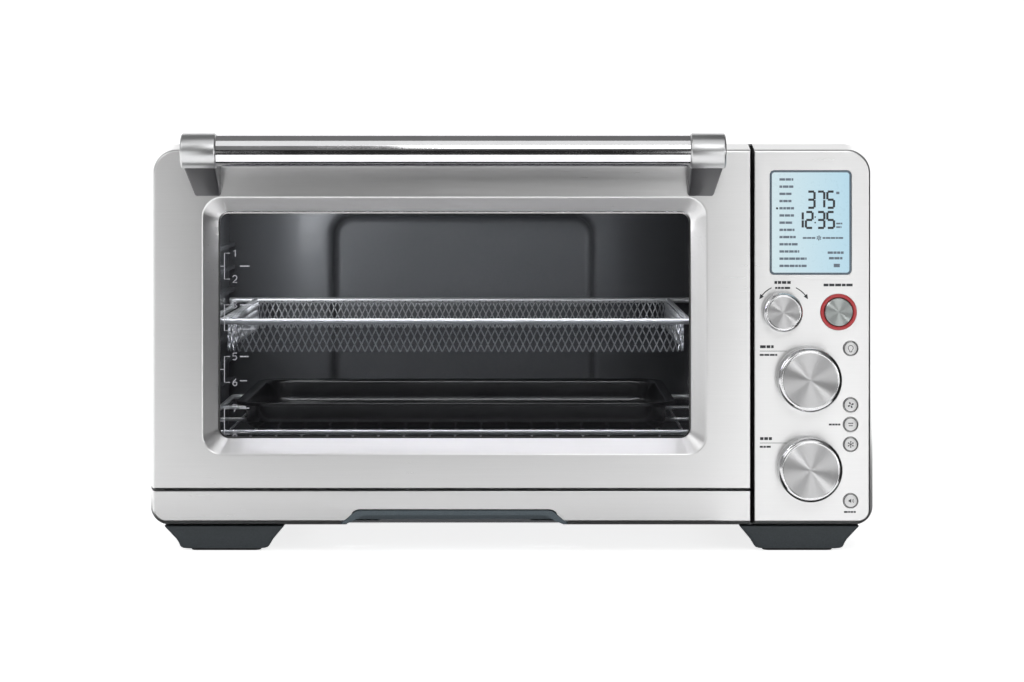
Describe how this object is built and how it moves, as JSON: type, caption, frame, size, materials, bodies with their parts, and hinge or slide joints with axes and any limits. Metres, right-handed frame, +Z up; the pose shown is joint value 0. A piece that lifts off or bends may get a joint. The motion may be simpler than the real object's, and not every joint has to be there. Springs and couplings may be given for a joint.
{
  "type": "toaster oven",
  "caption": "Countertop convection toaster oven with a drop-down glass door, bar handle, rack, pan, mesh basket and a side control panel.",
  "frame": {"origin": "centre of the footprint, on the surface the oven stands on", "axes": "+X to the right seen from the front, +Y to the back, +Z up; the door faces -Y"},
  "size_m": [0.5508, 0.435, 0.3187],
  "materials": {
    "brushed_steel": "fine horizontal brushed grain, satin",
    "wrap_steel": "fine brushed grain, satin",
    "satin_cap": "satin cast, lightly blasted",
    "chrome": "polished",
    "galvanised": "zinc plated, satin",
    "cavity_coat": "dark grey non-stick coat, semi-gloss",
    "enamel": "black enamel, glossy",
    "wire_chrome": "bright wire",
    "slate_plastic": "slate grey, fine texture",
    "charcoal_plastic": "charcoal, fine texture",
    "black_plastic": "black",
    "black_rubber": "matt",
    "silicone": "matt",
    "window": "toughened, lightly tinted, printed height marks",
    "lens": "clear toughened",
    "display_glass": "lit liquid crystal display behind a glossy window",
    "red_ring": "translucent red, gloss",
    "board": "green lacquered circuit board",
    "spun_metal": "spun face with circular grain",
    "button_metal": "satin",
    "quartz": "frosted quartz tube",
    "ceramic": "unglazed",
    "wool": "mineral wool blanket",
    "steel_dark": "phosphated steel"
  },
  "bodies": {
    "chassis": {"outer_wrap": "wrap_steel", "base_plate": "galvanised", "back_panel": "galvanised", "rear_spacers": "charcoal_plastic", "case_screws": "steel_dark", "cord_gland": "black_plastic", "front_frame": "galvanised", "compartment_wall": "galvanised", "lower_trim": "brushed_steel", "control_fascia": "brushed_steel", "display": "display_glass", "start_ring": "red_ring", "circuit_boards": "board", "encoders_and_switches": "black_plastic", "cavity_left_wall": "cavity_coat", "cavity_right_wall": "cavity_coat", "cavity_top": "cavity_coat", "cavity_back": "cavity_coat", "left_rack_guides": "cavity_coat", "right_rack_guides": "cavity_coat", "top_heaters": "quartz", "bottom_heaters": "quartz", "heater_caps": "ceramic", "fan_shroud": "galvanised", "fan_motor": "steel_dark", "lamp_holder": "galvanised", "lamp_bulb": "lens", "lamp_lens": "lens", "temperature_probe": "galvanised", "insulation": "wool", "feet": "charcoal_plastic", "foot_pads": "black_rubber", "hinge_brackets": "galvanised", "hinge_pins": "galvanised"},
    "door": {"door_skin": "brushed_steel", "door_inner_frame": "cavity_coat", "window_glass": "window", "window_gasket": "silicone", "handle_bar": "chrome", "handle_caps": "satin_cap", "hinge_arms": "galvanised", "door_magnets": "galvanised"},
    "crumb_drawer": {"crumb_tray": "cavity_coat", "crumb_tray_handle": "slate_plastic"},
    "rack": {"wire_rack": "wire_chrome"},
    "pan": {"roasting_pan": "enamel"},
    "basket": {"basket_frame": "wire_chrome", "basket_mesh": "wire_chrome"},
    "select_press": {"select_plunger": "black_plastic"},
    "select_dial": {"select_knob": "spun_metal"},
    "temperature_dial": {"temperature_knob": "spun_metal"},
    "time_dial": {"time_knob": "spun_metal"},
    "start_key": {"start_button": "spun_metal"},
    "light_key": {"light_button": "button_metal"},
    "convection_key": {"convection_button": "button_metal"},
    "phase_key": {"phase_button": "button_metal"},
    "frozen_key": {"frozen_button": "button_metal"},
    "sound_key": {"sound_button": "button_metal"},
    "fan": {"convection_fan": "galvanised", "fan_shaft": "galvanised"}
  },
  "joints": [
    {"name": "door_hinge", "type": "hinge", "parent": "chassis", "child": "door", "pos_m": [0, -0.169, 0.0585], "axis": [1, 0, 0], "range_deg": [0, 90], "stiffness_Nm_per_rad": 1.5, "springref_deg": -22.92},
    {"name": "rack_slide", "type": "slide", "parent": "chassis", "child": "rack", "axis": [0, -1, 0], "range_m": [0, 0.05]},
    {"name": "basket_slide", "type": "slide", "parent": "chassis", "child": "basket", "axis": [0, -1, 0], "range_m": [0, 0.16]},
    {"name": "pan_lift", "type": "slide", "parent": "rack", "child": "pan", "axis": [0, 0, 1], "range_m": [0, 0.02]},
    {"name": "crumb_tray_slide", "type": "slide", "parent": "chassis", "child": "crumb_drawer", "axis": [0, -1, 0], "range_m": [0, 0.21]},
    {"name": "select_push", "type": "slide", "parent": "chassis", "child": "select_press", "axis": [0, 1, 0], "range_m": [0, 0.001], "stiffness_N_per_m": 900, "springref_m": -0.002},
    {"name": "select_turn", "type": "hinge", "parent": "select_press", "child": "select_dial", "pos_m": [0.2041, -0.1745, 0.1836], "axis": [0, 1, 0], "continuous": true},
    {"name": "temperature_turn", "type": "hinge", "parent": "chassis", "child": "temperature_dial", "pos_m": [0.2238, -0.1745, 0.133], "axis": [0, 1, 0], "continuous": true},
    {"name": "time_turn", "type": "hinge", "parent": "chassis", "child": "time_dial", "pos_m": [0.2242, -0.1745, 0.0654], "axis": [0, 1, 0], "continuous": true},
    {"name": "start_push", "type": "slide", "parent": "chassis", "child": "start_key", "axis": [0, 1, 0], "range_m": [0, 0.0015], "stiffness_N_per_m": 700, "springref_m": -0.002},
    {"name": "light_push", "type": "slide", "parent": "chassis", "child": "light_key", "axis": [0, 1, 0], "range_m": [0, 0.0008], "stiffness_N_per_m": 500, "springref_m": -0.002},
    {"name": "convection_push", "type": "slide", "parent": "chassis", "child": "convection_key", "axis": [0, 1, 0], "range_m": [0, 0.0008], "stiffness_N_per_m": 500, "springref_m": -0.002},
    {"name": "phase_push", "type": "slide", "parent": "chassis", "child": "phase_key", "axis": [0, 1, 0], "range_m": [0, 0.0008], "stiffness_N_per_m": 500, "springref_m": -0.002},
    {"name": "frozen_push", "type": "slide", "parent": "chassis", "child": "frozen_key", "axis": [0, 1, 0], "range_m": [0, 0.0008], "stiffness_N_per_m": 500, "springref_m": -0.002},
    {"name": "sound_push", "type": "slide", "parent": "chassis", "child": "sound_key", "axis": [0, 1, 0], "range_m": [0, 0.0008], "stiffness_N_per_m": 500, "springref_m": -0.002},
    {"name": "fan_turn", "type": "hinge", "parent": "chassis", "child": "fan", "pos_m": [0.17, 0.0305, 0.158], "axis": [1, 0, 0], "continuous": true}
  ],
  "couplings": [
    {"joint": "rack_slide", "follows": "door_hinge", "m_per_rad": 0.03},
    {"joint": "basket_slide", "follows": "door_hinge", "m_per_rad": 0.1}
  ]
}
